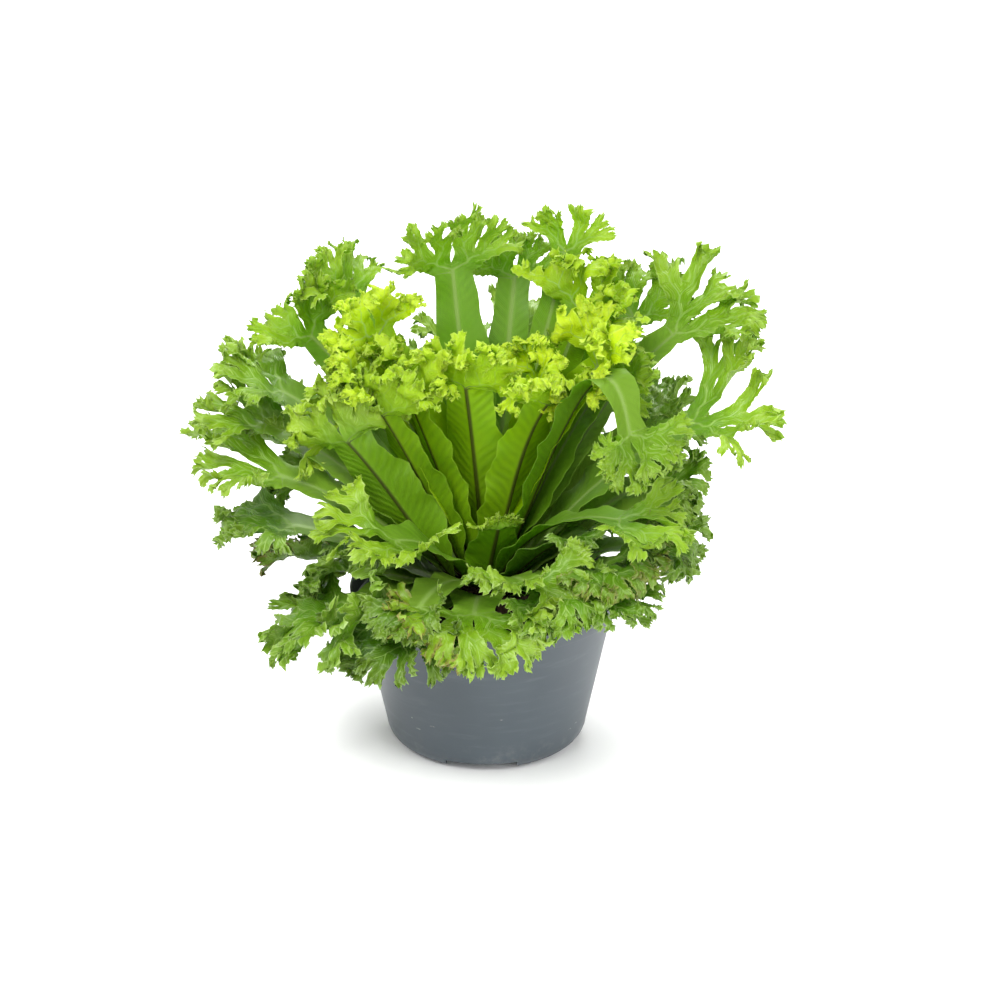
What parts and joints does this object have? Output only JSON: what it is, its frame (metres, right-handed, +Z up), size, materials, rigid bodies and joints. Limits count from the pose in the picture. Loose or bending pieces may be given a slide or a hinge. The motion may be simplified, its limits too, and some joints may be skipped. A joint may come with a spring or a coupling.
{
  "type": "potted crested bird's nest fern",
  "caption": "Crested bird's nest fern in a round plastic nursery pot: a rosette of strap fronds whose tips fork into ruffled crests.",
  "frame": {"origin": "on the pot's axis, at the level of its feet, which is the bottom centre of the whole plant's box", "axes": "+Z up along the pot's axis, +X to the right and +Y away from the viewer as the plant is seen from its front"},
  "size_m": [0.4216, 0.3266, 0.3886],
  "materials": {
    "pot_plastic": "satin",
    "potting_soil": "rough",
    "crown_scale": "rough",
    "young_frond": "satin",
    "grown_frond": "satin"
  },
  "bodies": {
    "root": {"pot": "pot_plastic", "soil": "potting_soil", "crown": "crown_scale", "frond_back_centre": "young_frond", "frond_back_left": "young_frond", "frond_back_slim": "young_frond", "frond_back_top": "young_frond", "frond_high_right": "young_frond", "frond_far_right": "young_frond", "frond_back_right": "young_frond", "frond_gold_right": "young_frond", "frond_upper_left": "young_frond", "frond_gold_back": "young_frond", "frond_gold_left": "young_frond", "frond_curl_left": "young_frond", "frond_curl_centre": "young_frond", "frond_gold_centre": "young_frond", "frond_curl_right": "young_frond", "frond_curl_low": "young_frond", "frond_broad_left": "grown_frond", "frond_left_high": "grown_frond", "frond_left_far": "grown_frond", "frond_left_fingers": "grown_frond", "frond_left_low": "grown_frond", "frond_left_pale": "young_frond", "frond_right_pale": "young_frond", "frond_right_far": "grown_frond", "frond_right_curl": "grown_frond", "frond_right_fork": "young_frond", "frond_right_mid": "grown_frond", "frond_right_light": "young_frond", "frond_right_small": "grown_frond", "frond_right_low": "grown_frond", "frond_right_under": "grown_frond", "frond_right_dark": "grown_frond", "frond_front_light": "grown_frond", "frond_front_fan": "grown_frond", "frond_front_left": "grown_frond", "frond_front_centre": "grown_frond", "frond_front_parsley": "grown_frond", "frond_front_right": "grown_frond", "frond_front_tuft": "grown_frond", "frond_lip": "young_frond", "frond_front_small": "grown_frond", "frond_left_under": "grown_frond", "frond_rear_right": "grown_frond", "frond_rear_centre": "grown_frond", "frond_rear_left": "grown_frond", "frond_rear_low_left": "grown_frond", "frond_rear_low": "grown_frond", "frond_rear_low_right": "grown_frond", "frond_rear_base_left": "grown_frond", "frond_rear_base_right": "grown_frond", "frond_left_base": "grown_frond", "frond_right_base": "grown_frond", "frond_rear_mid_left": "grown_frond", "frond_rear_mid_right": "grown_frond"}
  },
  "joints": []
}
